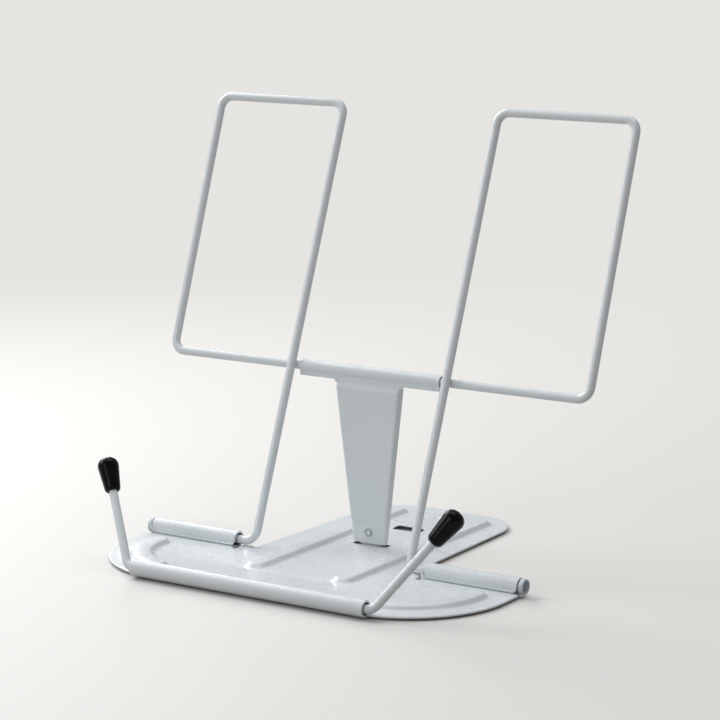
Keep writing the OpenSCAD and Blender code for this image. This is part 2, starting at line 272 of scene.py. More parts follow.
def bent_path(corners: list[Vector], bend: float, steps: int = 14) -> list[Vector]:
    """The centre line of a wire that is bent at each inner corner.

    Args:
        corners: The corners of the sharp line.
        bend: The bend radius.
        steps: How many steps each bend is cut into.

    Returns:
        The points of the bent line.
    """
    out = [corners[0]]
    for before, corner, after in zip(corners, corners[1:], corners[2:]):
        u, w = (before - corner).normalized(), (after - corner).normalized()
        half = u.angle(w) / 2.0
        centre = corner + (u + w).normalized() * (bend / math.sin(half))
        start = corner + u * (bend / math.tan(half))
        arm = start - centre
        axis = (-arm).cross(u).normalized()
        turn = math.pi - 2.0 * half
        for i in range(steps + 1):
            out.append(centre + Matrix.Rotation(turn * i / steps, 3, axis) @ arm)
    out.append(corners[-1])
    return out


def rounded_wire(corners: list[Vector], bend: float, radius: float,
                 nose: float = 0.5) -> tuple[list[Vector], list[float]]:
    """The path and radii of a bent wire with softened ends.

    Args:
        corners: The corners of the sharp line.
        bend: The bend radius.
        radius: The wire's radius.
        nose: How far the softening runs in from each end.

    Returns:
        The path and the radius at each of its points.
    """
    path = bent_path(corners, bend)
    head, tail = (path[1] - path[0]).normalized(), (path[-2] - path[-1]).normalized()
    # Shares of the softening's run, and how much of it the radius still lacks there
    soft = [(0.0, 0.55), (0.12, 0.25), (0.5, 0.05), (1.0, 0.0)]
    first = [path[0] + head * (nose * t) for t, _ in soft]
    last = [path[-1] + tail * (nose * t) for t, _ in reversed(soft)]
    shrink = [radius - nose * s for _, s in soft]
    return first + path[1:-1] + last, shrink + [radius] * (len(path) - 2) + shrink[::-1]


def lathe(shell: Shell, origin: Vector, axis: Vector, profile: list[Pair],
          sides: int = 48) -> None:
    """Turns a profile about an axis.

    Args:
        shell: The shell that takes the form.
        origin: A point on the axis.
        axis: The direction in which the profile's first number grows.
        profile: Pairs of distance along the axis and radius. A radius of 0 closes the form.
        sides: How many sides the form has.
    """
    along = axis.normalized()
    across = along.orthogonal().normalized()
    up = along.cross(across)
    shell.loft([shell.circle(origin + along * distance, across, up, radius, sides)
                for distance, radius in profile])


def sheet_form(piece: Piece, thickness: float, edge: float) -> Piece:
    """Gives a surface the thickness and the soft edges of painted sheet.

    Args:
        piece: A piece whose mesh is the middle of the sheet.
        thickness: The sheet's thickness.
        edge: The radius of its edges.

    Returns:
        The same piece, with its modifiers.
    """
    solid = piece.modifiers.new("sheet", "SOLIDIFY")
    solid.thickness, solid.offset, solid.use_even_offset = thickness * MM, 0.0, True
    soft = piece.modifiers.new("edges", "BEVEL")
    soft.width, soft.segments = edge * MM, 3
    soft.limit_method, soft.angle_limit = "ANGLE", math.radians(50.0)
    return piece


# ---------------------------------------------------------------- finishes


def colour(red: float, green: float, blue: float) -> tuple[float, float, float, float]:
    """A colour written as it looks on a screen, as the shaders want it.

    Args:
        red: The red share, from 0 to 1.
        green: The green share.
        blue: The blue share.

    Returns:
        The linear colour with an alpha of 1.
    """
    def linear(c: float) -> float:
        """One share of the colour, made linear."""
        return c / 12.92 if c <= 0.04045 else ((c + 0.055) / 1.055) ** 2.4

    return (linear(red), linear(green), linear(blue), 1.0)


@dataclass
class NodeSheet:
    """A node tree with short calls that place and join its nodes."""

    tree: bpy.types.NodeTree

    def add(self, kind: str, **values: object) -> bpy.types.Node:
        """Places a node.

        Args:
            kind: The node's type.
            **values: Settings of the node itself.

        Returns:
            The new node.
        """
        node = self.tree.nodes.new(kind)
        for name, value in values.items():
            setattr(node, name, value)
        return node

    def join(self, out: Socket, into: bpy.types.NodeSocket) -> None:
        """Joins an output to an input."""
        self.tree.links.new(out, into)

    def put(self, value: object, into: bpy.types.NodeSocket) -> None:
        """Joins an output to an input, or gives the input a fixed value.

        Args:
            value: An output, a number or a colour.
            into: The input.
        """
        if isinstance(value, bpy.types.NodeSocket):
            self.join(value, into)
        else:
            into.default_value = value

    def feed(self, node: bpy.types.Node, inputs: dict[str, object]) -> None:
        """Gives several inputs of a node what each of them takes.

        Args:
            node: The node.
            inputs: Each input's name, with an output, a number or a colour.
        """
        for label, value in inputs.items():
            self.put(value, node.inputs[label])

    def maths(self, kind: str, a: object, b: object) -> Socket:
        """Works out one number from two.

        Args:
            kind: The operation.
            a: A number or an output.
            b: A number or an output.

        Returns:
            The result.
        """
        node = self.add("ShaderNodeMath", operation=kind)
        self.put(a, node.inputs[0])
        self.put(b, node.inputs[1])
        return node.outputs[0]

    def mixed(self, share: object, first: object, second: object) -> Socket:
        """Mixes two colours.

        Args:
            share: How much of the second colour shows, from 0 to 1.
            first: A colour or an output.
            second: A colour or an output.

        Returns:
            The mixed colour.
        """
        node = self.add("ShaderNodeMix", data_type="RGBA")
        self.put(share, node.inputs["Factor"])
        # The node's colours are its inputs 6 and 7, and its output 2
        self.put(first, node.inputs[6])
        self.put(second, node.inputs[7])
        return node.outputs[2]


def new_group(name: str, inputs: dict[str, object], outputs: dict[str, str]) -> NodeSheet:
    """Starts a shader node group with named inputs and outputs.

    Args:
        name: The group's name.
        inputs: Each input's name and its usual value: a number or a colour.
        outputs: Each output's name and its socket type.

    Returns:
        The group's node sheet, with its Group Input and Group Output placed.
    """
    tree = bpy.data.node_groups.new(name, "ShaderNodeTree")
    for label, value in inputs.items():
        kind = "NodeSocketColor" if isinstance(value, tuple) else "NodeSocketFloat"
        tree.interface.new_socket(label, in_out="INPUT", socket_type=kind).default_value = value
    for label, kind in outputs.items():
        tree.interface.new_socket(label, in_out="OUTPUT", socket_type=kind)
    tree.nodes.new("NodeGroupInput")
    tree.nodes.new("NodeGroupOutput")
    return NodeSheet(tree)


def film_group() -> bpy.types.NodeTree:
    """The skin of a sprayed or moulded surface: soft ripple, fine grain and cloudy tone.

    Returns:
        A group that gives Color, Roughness and Normal.
    """
    sheet = new_group(
        "surface_film",
        {
            "Color": (0.8, 0.8, 0.8, 1.0),
            "Tint": (0.7, 0.7, 0.7, 1.0),
            "Cloud": 0.2,
            "Ripple Scale": 700.0,
            "Ripple": 0.05,
            "Grain Scale": 6000.0,
            "Grain": 0.02,
            "Roughness": 0.3,
            "Roughness Spread": 0.08,
        },
        {"Color": "NodeSocketColor", "Roughness": "NodeSocketFloat", "Normal": "NodeSocketVector"},
    )
    nodes = sheet.tree.nodes
    given, out = nodes["Group Input"].outputs, nodes["Group Output"].inputs
    place = sheet.add("ShaderNodeTexCoord").outputs["Object"]
    cloud_scale, gloss_scale, relief = 38.0, 210.0, 0.0004

    def noise(scale: object, detail: float) -> Socket:
        """A noise over the surface.

        Args:
            scale: Its scale, as a number or an output.
            detail: How many finer layers it has.

        Returns:
            The noise, from 0 to 1.
        """
        node = sheet.add("ShaderNodeTexNoise")
        sheet.feed(node, {"Vector": place, "Scale": scale, "Detail": detail})
        return node.outputs["Fac"]

    cloud = sheet.maths("MULTIPLY", noise(cloud_scale, 3.0), given["Cloud"])
    sheet.join(sheet.mixed(cloud, given["Color"], given["Tint"]), out["Color"])
    spread = sheet.maths("MULTIPLY", sheet.maths("SUBTRACT", noise(gloss_scale, 2.0), 0.5),
                         given["Roughness Spread"])
    sheet.join(sheet.maths("ADD", given["Roughness"], spread), out["Roughness"])
    ripple = sheet.maths("MULTIPLY", noise(given["Ripple Scale"], 2.0), given["Ripple"])
    grain = sheet.maths("MULTIPLY", noise(given["Grain Scale"], 1.0), given["Grain"])
    bump = sheet.add("ShaderNodeBump")
    sheet.feed(bump, {"Distance": relief, "Strength": 1.0,
                      "Height": sheet.maths("ADD", ripple, grain)})
    sheet.join(bump.outputs["Normal"], out["Normal"])
    return sheet.tree


def dust_group() -> bpy.types.NodeTree:
    """Fine dust: pale specks and a thin veil on the faces that look up.

    Returns:
        A group that gives the dusted Color and the Roughness.
    """
    sheet = new_group(
        "fine_dust",
        {"Color": (0.8, 0.8, 0.8, 1.0), "Dust": (0.75, 0.74, 0.72, 1.0), "Amount": 0.1,
         "Roughness": 0.3},
        {"Color": "NodeSocketColor", "Roughness": "NodeSocketFloat"},
    )
    nodes = sheet.tree.nodes
    given, out = nodes["Group Input"].outputs, nodes["Group Output"].inputs
    place = sheet.add("ShaderNodeTexCoord").outputs["Object"]
    speck_scale, speck_from, speck_full = 1500.0, 0.58, 0.74
    even_veil, dulling = 0.35, 0.5
    split = sheet.add("ShaderNodeSeparateXYZ")
    sheet.join(sheet.add("ShaderNodeNewGeometry").outputs["Normal"], split.inputs[0])
    speck = sheet.add("ShaderNodeTexNoise")
    sheet.feed(speck, {"Vector": place, "Scale": speck_scale, "Detail": 3.0})
    ramp = sheet.add("ShaderNodeMapRange")
    sheet.feed(ramp, {"From Min": speck_from, "From Max": speck_full,
                      "Value": speck.outputs["Fac"]})
    up = sheet.maths("MAXIMUM", split.outputs["Z"], 0.0)
    veil = sheet.maths("MULTIPLY", sheet.maths("ADD", ramp.outputs[0], even_veil), up)
    share = sheet.maths("MULTIPLY", veil, given["Amount"])
    sheet.join(sheet.mixed(share, given["Color"], given["Dust"]), out["Color"])
    sheet.join(sheet.maths("ADD", given["Roughness"], sheet.maths("MULTIPLY", share, dulling)),
               out["Roughness"])
    return sheet.tree


@dataclass(frozen=True)
class Finish:
    """A finish: its colours, its gloss and the skin of its surface."""

    name: str
    slot: str
    base: Triple
    tint: Triple
    cloud: float
    ripple_scale: float
    ripple: float
    grain_scale: float
    grain: float
    roughness: float
    spread: float
    specular: float = 0.5
    coat: float = 0.0
    coat_roughness: float = 0.14
    dust: float = 0.05

    def make(self, film: bpy.types.NodeTree, dust: bpy.types.NodeTree) -> "Coating":
        """Builds the material.

        Args:
            film: The surface group.
            dust: The dust group.

        Returns:
            The material and its slot, ready to be given to pieces.
        """
        material = bpy.data.materials.new(self.name)
        material.use_nodes = True
        sheet = NodeSheet(material.node_tree)
        shader = material.node_tree.nodes["Principled BSDF"]
        skin = sheet.add("ShaderNodeGroup", node_tree=film)
        sheet.feed(skin, {
            "Color": colour(*self.base), "Tint": colour(*self.tint), "Cloud": self.cloud,
            "Ripple Scale": self.ripple_scale, "Ripple": self.ripple,
            "Grain Scale": self.grain_scale, "Grain": self.grain,
            "Roughness": self.roughness, "Roughness Spread": self.spread,
        })
        veil = sheet.add("ShaderNodeGroup", node_tree=dust)
        sheet.feed(veil, {"Amount": self.dust, "Color": skin.outputs["Color"],
                          "Roughness": skin.outputs["Roughness"]})
        sheet.feed(shader, {
            "Base Color": veil.outputs["Color"], "Roughness": veil.outputs["Roughness"],
            "Normal": skin.outputs["Normal"], "Specular IOR Level": self.specular,
            "Coat Weight": self.coat, "Coat Roughness": self.coat_roughness,
        })
        return Coating(material, self.slot)


@dataclass(frozen=True)
class Coating:
    """A material that is ready for use, and the record's slot that it belongs to."""

    material: bpy.types.Material
    slot: str


ENAMEL = Finish(
    name="pale_enamel", slot="painted_steel",
    base=(0.852, 0.876, 0.890), tint=(0.805, 0.836, 0.856), cloud=0.22,
    ripple_scale=240.0, ripple=0.010, grain_scale=3600.0, grain=0.002,
    roughness=0.27, spread=0.02, specular=0.5, coat=0.2, dust=0.03,
)
NYLON = Finish(
    name="pale_nylon", slot="pale_nylon",
    base=(0.80, 0.835, 0.855), tint=(0.74, 0.78, 0.80), cloud=0.3,
    ripple_scale=300.0, ripple=0.04, grain_scale=2600.0, grain=0.10,
    roughness=0.42, spread=0.10, specular=0.45, dust=0.05,
)
BLACK_RUBBER = Finish(
    name="black_rubber", slot="black_rubber",
    base=(0.012, 0.011, 0.010), tint=(0.040, 0.040, 0.043), cloud=0.4,
    ripple_scale=260.0, ripple=0.08, grain_scale=3200.0, grain=0.03,
    roughness=0.22, spread=0.08, specular=0.13, dust=0.006,
)
# Painted shade: a dark bare-steel colour for the bores of the rolled tubes, darkening them where
# shade falls inside
BORE_SHADE_STEEL = Finish(
    name="bare_steel", slot="painted_steel",
    base=(0.17, 0.165, 0.16), tint=(0.10, 0.10, 0.10), cloud=0.5,
    ripple_scale=420.0, ripple=0.05, grain_scale=3000.0, grain=0.05,
    roughness=0.55, spread=0.10, specular=0.3, dust=0.0,
)
GREY_RUBBER = Finish(
    name="grey_rubber", slot="grey_rubber",
    base=(0.27, 0.28, 0.30), tint=(0.20, 0.21, 0.23), cloud=0.5,
    ripple_scale=260.0, ripple=0.05, grain_scale=2800.0, grain=0.25,
    roughness=0.72, spread=0.10, specular=0.3, dust=0.10,
)


@dataclass
class Finishes:
    """The stand's finishes."""

    enamel: Coating
    # The dark bore colour: bare steel, and painted shade inside the rolled tubes
    bare: Coating
    nylon: Coating
    black_rubber: Coating
    grey_rubber: Coating

    @classmethod
    def build(cls) -> "Finishes":
        """Builds the groups and all the materials.

        Returns:
            The finishes, ready to be given to pieces.
        """
        film, dust = film_group(), dust_group()
        finishes = (ENAMEL, BORE_SHADE_STEEL, NYLON, BLACK_RUBBER, GREY_RUBBER)
        return cls(*[f.make(film, dust) for f in finishes])


def dress(piece: Piece, coating: Coating, body: str, *nodes: str) -> None:
    """Gives a piece its material, its body and the nodes that it stands for.

    Args:
        piece: The piece.
        coating: Its finish.
        body: The body that it moves with.
        *nodes: The nodes that it replaces.
    """
    piece.data.materials.clear()
    piece.data.materials.append(coating.material)
    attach(piece, body)
    if nodes:
        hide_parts(*nodes)
    LOG.info("piece %s rides on %s", piece.name, body)


def bare_bore(piece: Piece, finishes: Finishes, axis: Pair, reach: float) -> None:
    """Gives the inside of a rolled tube a dark bare-steel colour: unpainted steel, and painted
    shade that stands in for the shade inside the bore.

    Args:
        piece: A dressed piece of thickened sheet.
        finishes: The stand's materials.
        axis: The place of the tube's axis: its Y and its height, in millimetres.
        reach: The faces within this distance of the axis belong to the tube.
    """
    mesh = piece.data
    middle = Vector((0.0, axis[0] - MID_Y, axis[1])) * MM
    # The back of each face takes the material after its own: the dark painted bore shade in the
    # tube, enamel elsewhere
    in_tube, elsewhere, to_the_back = 0, 2, 1
    for coating in (finishes.bare, finishes.enamel, finishes.enamel):
        mesh.materials.append(coating.material)
    piece.modifiers["sheet"].material_offset = to_the_back
    outward = 0.0
    for face in mesh.polygons:
        arm = face.center - middle
        arm.x = 0.0
        tube = arm.length < reach * MM
        outward += face.normal.dot(arm) * face.area if tube else 0.0
        face.material_index = in_tube if tube else elsewhere
    if outward < 0.0:
        mesh.flip_normals()


# ---------------------------------------------------------------- the base


@dataclass(frozen=True)
class Corner:
    """A corner of an outline and the radius that rounds it."""

    x: float
    y: float
    radius: float = 0.0
    steps: int = 8


def rounded_loop(corners: list[Corner], inset: float) -> list[Pair]:
    """A closed outline with rounded corners, moved into its own area.

    Args:
        corners: The sharp corners, anticlockwise.
        inset: How far the outline moves in. Below 0 it moves out.

    Returns:
        The outline's points, as many for each inset.
    """
    out: list[Pair] = []
    count = len(corners)
    for i, corner in enumerate(corners):
        here = Vector((corner.x, corner.y))
        before = Vector((corners[i - 1].x, corners[i - 1].y))
        after = Vector((corners[(i + 1) % count].x, corners[(i + 1) % count].y))
        u, w = (here - before).normalized(), (after - here).normalized()
        n_in, n_out = Vector((-u.y, u.x)), Vector((-w.y, w.x))
        here = here + (n_in + n_out) * (inset / (1.0 + n_in.dot(n_out)))
        turn = math.atan2(u.x * w.y - u.y * w.x, u.dot(w))
        if corner.radius <= 0.0 or abs(turn) < 1e-6:
            out.append((here.x, here.y))
            continue
        radius = max(corner.radius - inset * (1.0 if turn > 0 else -1.0), 0.02)
        side = 1.0 if turn > 0 else -1.0
        start = here - u * (radius * math.tan(abs(turn) / 2.0))
        centre = start + n_in * (radius * side)
        arm = start - centre
        for k in range(corner.steps + 1):
            a = turn * k / corner.steps
            out.append((
                centre.x + arm.x * math.cos(a) - arm.y * math.sin(a),
                centre.y + arm.x * math.sin(a) + arm.y * math.cos(a),
            ))
    return out


@dataclass
class BasePlate:
    """The pressed base: a T-shaped sheet with beads and slots, and three rolled edges."""

    thick: float = 0.8
    bottom: float = 0.8
    tail_len: float = 95.5
    tail_root: float = 36.7
    tail_end: float = 33.8
    curl_r: float = 3.3
    lip: float = 0.3
    front_half: float = 53.5
    rear_in: float = 44.4
    curl_stop: float = 290.0
    slit_wide: float = 1.9
    slit_deep: float = 5.3
    lip_low: float = 36.9
    lip_high: float = 42.4
    lip_run: float = 3.4
    lip_rise: float = 0.6
    bead_h: float = 1.62
    bead_half: float = 5.1
    bead_slope: float = 1.8
    bead_soft: float = 0.3
    bead_nose: float = 1.3
    bead_x: float = 20.3
    bead_near: float = -27.2
    bead_far: float = 86.2
    wing_bead_middle: Pair = (45.4, -15.5)
    wing_bead_r: float = 29.0
    wing_bead_from: float = -74.0
    wing_bead_to: float = 2.0
    edge: float = 0.32
    slot_half: float = 2.7
    slot_break: float = 1.1
    slot_reach: float = 2.2
    near_slot: Triple = (30.29, 15.6, 0.0)
    rear_slot: Triple = (58.5, 13.2, 0.45)
    dimple_y: float = 81.5

    @property
    def top(self) -> float:
        """The height of the sheet's upper face."""
        return self.bottom + self.thick

    def outline(self) -> list[Corner]:
        """The sheet's corners.

        Returns:
            The corners, anticlockwise from the front of the right wing.
        """
        slit_in, slit_y = self.rear_in - self.slit_wide, -self.slit_deep
        slit_round = 0.94
        right = [
            Corner(WING_X, -WING_DEPTH, 42.0, 30),
            Corner(WING_X, -4.2, 1.6, 6),
            Corner(REAR_ROLL_X, -2.7, 0.3, 4),
            Corner(REAR_ROLL_X, 0.0, 0.3, 4),
            Corner(self.rear_in, 0.0, 0.5, 4),
            Corner(self.rear_in, slit_y, slit_round, 8),
            Corner(slit_in, slit_y, slit_round, 8),
            Corner(slit_in, 0.0, 1.4, 6),
            Corner(self.tail_root, 0.0, 2.5, 8),
            Corner(self.tail_end, self.tail_len, 20.0, 20),
        ]
        left = [Corner(-c.x, c.y, c.radius, c.steps) for c in reversed(right)]
        return right + left

    def lift(self, x: float, y: float) -> float:
        """The rise of the lips between the slits and the tail, at the sheet's rear edge.

        Args:
            x: A place across the sheet.
            y: A place along it.

        Returns:
            The rise, which is 0 everywhere else.
        """
        if y >= 3.0:
            return 0.0
        across = smooth_step((abs(x) - self.lip_low) / 1.6)
        across *= smooth_step((self.lip_high - abs(x)) / 0.8)
        return self.lip_rise * across * smooth_step((y + self.lip_run) / self.lip_run)

    def bead_loop(self, half: float, curved: bool, side: float) -> list[Pair]:
        """The outline of a bead at one distance from its middle line.

        Args:
            half: Half of the bead's width at this height.
            curved: Whether it is the curved bead of a wing or a straight one.
            side: 1 for the right half, -1 for the left one.

        Returns:
            The outline's points.
        """
        if curved:
            centre, radius = self.wing_bead_middle, self.wing_bead_r
            start, end = self.wing_bead_from, self.wing_bead_to
            tips = [arc_points(centre, radius, a, a, 1)[0] for a in (start, end)]
            loop = arc_points(centre, radius + half, start, end, 26)
            loop += arc_points(tips[1], half, end, end + 180.0, 14)[1:-1]
            loop += arc_points(centre, radius - half, end, start, 26)
            loop += arc_points(tips[0], half, start - 180.0, start, 14)[1:-1]
        else:
            nose, x = self.bead_nose, self.bead_x
            low = self.bead_near + nose * self.bead_half
            high = self.bead_far - self.bead_half
            loop = [(x + half, low + (high - low) * k / 4) for k in range(5)]
            loop += arc_points((x, high), half, 0.0, 180.0, 14)[1:-1]
            loop += [(x - half, high - (high - low) * k / 4) for k in range(5)]
            loop += [(px, low + nose * (py - low))
                     for px, py in arc_points((x, low), half, 180.0, 360.0, 14)[1:-1]]
        return [(px * side, py) for px, py in loop]

    def bead(self, shell: Shell, curved: bool, side: float, floor: float) -> list[int]:
        """Raises one bead on one face of the sheet.

        Args:
            shell: The shell that takes it.
            curved: Whether it is a wing's curved bead.
            side: 1 for the right half, -1 for the left one.
            floor: The height of the face round it.

        Returns:
            The bead's outermost ring, which the flat face joins.
        """
        outer = self.bead_half + self.bead_soft
        inner = self.bead_half - self.bead_slope - self.bead_soft
        rings, steps, ridge = [], 12, 0.0005
        levels = [(outer + (inner - outer) * k / steps, smooth_step(k / steps))
                  for k in range(steps + 1)]
        for half, share in levels + [(ridge, 1.0)]:
            loop = self.bead_loop(half, curved, side)
            z = floor + self.bead_h * share
            rings.append(shell.ring([Vector((x, y, z)) for x, y in loop]))
        shell.loft(rings)
        return rings[0]

    def slot(self, y: float, length: float, inset: float) -> list[Pair]:
        """The outline of a foot slot.

        Args:
            y: The middle of the slot.
            length: Its length along X.
            inset: How far the outline is moved outwards, into the sheet.

        Returns:
            The outline's points.
        """
        half, wide, r = length / 2.0, self.slot_half, self.slot_half / 2.0
        corners = [
            Corner(-half, y - wide, r, 6), Corner(half, y - wide, r, 6),
            Corner(half, y + wide, r, 6), Corner(-half, y + wide, r, 6),
        ]
        return rounded_loop(corners, -inset)

    def rim(self, shell: Shell, loop: Callable[[float], list[Pair]],
            shelves: tuple[float, ...]) -> tuple[list[int], list[int]]:
        """Rounds the sheet's cut edge from its upper to its lower face.

        Args:
            shell: The shell that takes the edge.
            loop: Gives the edge's outline at an inset.
            shelves: Insets of more rings on each face, from the innermost outwards.

        Returns:
            The innermost rings of the upper and of the lower face.
        """
        r, turns = self.edge, (0.0, 0.4, 0.8, 1.2, math.pi / 2)
        section = [(s, self.top) for s in shelves]
        section += [(r - r * math.sin(a), self.top - r + r * math.cos(a)) for a in turns]
        section += [(r - r * math.cos(a), self.bottom + r - r * math.sin(a)) for a in turns]
        section += [(s, self.bottom) for s in reversed(shelves)]
        rings = []
        for inset, z in section:
            points = [Vector((x, y, z + self.lift(x, y))) for x, y in loop(inset)]
            rings.append(shell.ring(points))
        shell.loft(rings)
        return rings[0], rings[-1]

    def punched(self, shell: Shell, y: float, length: float,
                far_rise: float) -> tuple[list[int], list[int]]:
        """Cuts a foot slot, whose wall breaks outwards below a short clean band.

        Args:
            shell: The shell that takes the slot's wall.
            y: The middle of the slot.
            length: Its length along X.
            far_rise: How far its rear edge stands up.

        Returns:
            The outermost rings of the upper and of the lower face.
        """
        section = [(inset, self.top) for inset in (self.slot_reach, 1.7, 1.1, 0.6, 0.2)]
        section += [(0.07, self.top - 0.04), (0.0, self.top - 0.14), (0.0, self.top - 0.24),
                    (0.12, self.top - 0.36), (self.slot_break, self.bottom),
                    (self.slot_reach, self.bottom)]
        rings = []
        for inset, z in section:
            rise = far_rise * (1.0 - smooth_step(inset / self.slot_reach)) / self.slot_half
            rings.append(shell.ring([
                Vector((px, py, z + rise * min(max(py - y, 0.0), self.slot_half)))
                for px, py in self.slot(y, length, inset)]))
        shell.loft(rings)
        return rings[0], rings[-1]

    def dimple(self, shell: Shell) -> list[int]:
        """Presses the small dimple near the tail's edge.

        Args:
            shell: The shell that takes it.

        Returns:
            The dimple's outermost ring.
        """
        rings = []
        for radius, depth in ((1.9, 0.0), (1.65, 0.05), (1.4, 0.22), (1.1, 0.4), (0.6, 0.5),
                              (0.001, 0.52)):
            loop = arc_points((0.0, self.dimple_y), radius, 0.0, 360.0, 24)[:-1]
            rings.append(shell.ring([Vector((x, y, self.top - depth)) for x, y in loop]))
        shell.loft(rings)
        return rings[0]

    def sheet(self) -> Piece:
        """The T-shaped sheet with its beads, slots, dimple and rounded edges.

        Returns:
            The new piece.
        """
        shell = Shell()
        corners = self.outline()
        holes_up, holes_down = [], []
        outer_up, outer_down = self.rim(
            shell, lambda inset: rounded_loop(corners, inset), (2.3, 1.7, 1.1, 0.7))
        for y, length, far_rise in (self.near_slot, self.rear_slot):
            up, down = self.punched(shell, y, length, far_rise)
            holes_up.append(up)
            holes_down.append(down)
        for side in (1.0, -1.0):
            for curved in (False, True):
                holes_up.append(self.bead(shell, curved, side, self.top))
                holes_down.append(self.bead(shell, curved, side, self.bottom))
        holes_up.append(self.dimple(shell))
        shell.fill_flat([outer_up] + holes_up)
        shell.fill_flat([outer_down] + holes_down)
        return shell.make("base_sheet", sharp=70.0)

    def curl_path(self, reach: float) -> list[Pair]:
        """The middle line of a rolled edge in section.

        Args:
            reach: How far the roll goes on beyond its usual end. Below 0 it stops short.

        Returns:
            Points of distance behind the roll's centre and height, from the sheet to the free
            edge.
        """
        mid = self.curl_r - self.thick / 2.0 - 0.005
        path = [(2.6, self.bottom + self.thick / 2), (1.3, PIVOT_Z - mid + 0.02)]
        stop = self.curl_stop + math.degrees(reach / mid)
        path += [(-y, PIVOT_Z - z)
                 for z, y in arc_points((0.0, 0.0), mid, 0.0, stop, 46)]
        end = math.radians(stop)
        heading = Vector((-math.cos(end), math.sin(end)))
        point = Vector(path[-1])
        for turn in (15.0, 25.0, 25.0, 15.0):
            a = math.radians(turn)
            heading = Vector((heading.x * math.cos(a) - heading.y * math.sin(a),
                              heading.y * math.cos(a) + heading.x * math.sin(a)))
            point = point + heading * self.lip
            path.append((point.x, point.y))
        return path

    def curl(self, name: str, centre_y: float, facing: float, low: float,
             high: float) -> Piece:
        """One rolled edge.

        Args:
            name: The piece's name.
            centre_y: The place of the roll's axis.
            facing: 1 where the sheet lies behind the roll, -1 where it lies in front of it.
            low: Where the roll starts, along X.
            high: Where it ends.

        Returns:
            The new piece.
        """
        # The corners of the roll's free edge are rounded by this radius
        soft = 2.2
        marks = [0.0, 0.1, 0.3, 0.6, 1.0, 1.5, soft]
        stations = [low + m for m in marks] + [high - m for m in reversed(marks)]
        rows = []
        for x in stations:
            d = min(x - low, high - x, soft)
            recess = soft - math.sqrt(max(0.0, soft * soft - (soft - d) ** 2))
            rows.append([Vector((x, centre_y + facing * y, z))
                         for y, z in self.curl_path(-recess)])
        shell = Shell()
        shell.grid(rows)
        return sheet_form(shell.make(name, sharp=60.0), self.thick, 0.16)

    def build(self, finishes: Finishes) -> None:
        """Makes and dresses the sheet and its rolled edges.

        Args:
            finishes: The stand's materials.
        """
        dress(self.sheet(), finishes.enamel, "base", "base_plate")
        front = self.curl("front_rolled_edge", -WING_DEPTH, 1.0, -self.front_half,
                          self.front_half)
        dress(front, finishes.enamel, "base")
        # The roll's bore takes the dark bare-steel colour, painted shade inside the tube
        bare_bore(front, finishes, (-WING_DEPTH, PIVOT_Z), self.curl_r)
        for side in Side:
            ends = sorted((side.value * self.rear_in, side.value * REAR_ROLL_X))
            rear = self.curl(f"rear_rolled_edge_{side.word}", 0.0, -1.0, *ends)
            dress(rear, finishes.enamel, "base")
            bare_bore(rear, finishes, (0.0, PIVOT_Z), self.curl_r)


@dataclass
class Bushings:
    """The collared bushes of the rack's legs, and the liners of the page arms."""

    bush_r: float = 2.48
    bore_r: float = 1.8
    neck_r: float = 2.05
    bush_len: float = 34.0
    collar_r: float = 3.1
    collar_len: float = 1.9
    collar_gap: float = 0.6
    collar_wall: float = 0.75

    def bush(self, side: Side) -> Piece:
        """A bush, whose collar stands open at its outer end.

        Args:
            side: The side that it sits on.

        Returns:
            The new piece.
        """
        neck = self.bush_len + self.collar_gap
        end = neck + self.collar_len
        mouth, r = self.collar_r - self.collar_wall, 0.26
        profile = [
            (neck, self.bore_r), (0.0, self.bore_r), (0.0, self.bush_r - 0.2),
            (0.2, self.bush_r), (self.bush_len - 0.5, self.bush_r),
            (self.bush_len - 0.4, self.neck_r), (neck, self.neck_r),
            (neck, self.collar_r - r), (neck + 0.3 * r, self.collar_r - 0.3 * r),
            (neck + r, self.collar_r), (end - r, self.collar_r),
            (end - 0.3 * r, self.collar_r - 0.3 * r), (end, self.collar_r - r),
            (end, mouth + 0.18), (end - 0.05, mouth + 0.05), (end - 0.18, mouth),
            (neck + 0.1, mouth), (neck, mouth - 0.12), (neck, self.bore_r),
        ]
        shell = Shell()
        inner_end = Vector((REAR_ROLL_X - self.bush_len, 0.0, PIVOT_Z))
        lathe(shell, inner_end, Vector((1, 0, 0)), profile)
        return shell.make(f"bush_{side.word}", side, sharp=50.0)

    def build(self, frame: dict, finishes: Finishes) -> None:
        """Makes the bushes, and dresses the liners as they are.

        Args:
            finishes: The stand's materials.
        """
        for side in Side:
            dress(self.bush(side), finishes.nylon, "base", f"pivot_bush_{side.word}")
        for name, node in frame["nodes"].items():
            if name.startswith("arm_liner"):
                node.data.materials.clear()
                node.data.materials.append(finishes.nylon.material)
                LOG.info("node %s stays as it is", name)


@dataclass
class Pads:
    """The soft pads under the base."""

    radius: float = 4.5
    thick: float = 0.8
    front_spot: Pair = (43.0, 11.0 - WING_DEPTH)
    tail_spot: Pair = (29.695, 66.0)

    def build(self, finishes: Finishes) -> None:
        """Makes the four pads, each with a rolled lower edge and a shallow dish.

        Args:
            finishes: The stand's materials.
        """
        profile = [
            (self.thick, 0.0), (self.thick, self.radius - 0.1), (self.thick - 0.1, self.radius),
            (0.25, self.radius), (0.08, self.radius - 0.09), (0.0, self.radius - 0.3),
            (0.0, 3.1), (0.06, 2.8), (0.18, 2.5), (0.2, 0.0),
        ]
        spots = {"front": self.front_spot, "tail": self.tail_spot}
        for side in Side:
            for place, (x, y) in spots.items():
                shell = Shell()
                lathe(shell, Vector((x, y, 0.0)), Vector((0, 0, 1)), profile, 40)
                piece = shell.make(f"pad_{place}_{side.word}_skin", side, sharp=50.0)
                dress(piece, finishes.grey_rubber, "base", f"pad_{place}_{side.word}")


# ---------------------------------------------------------------- the rack


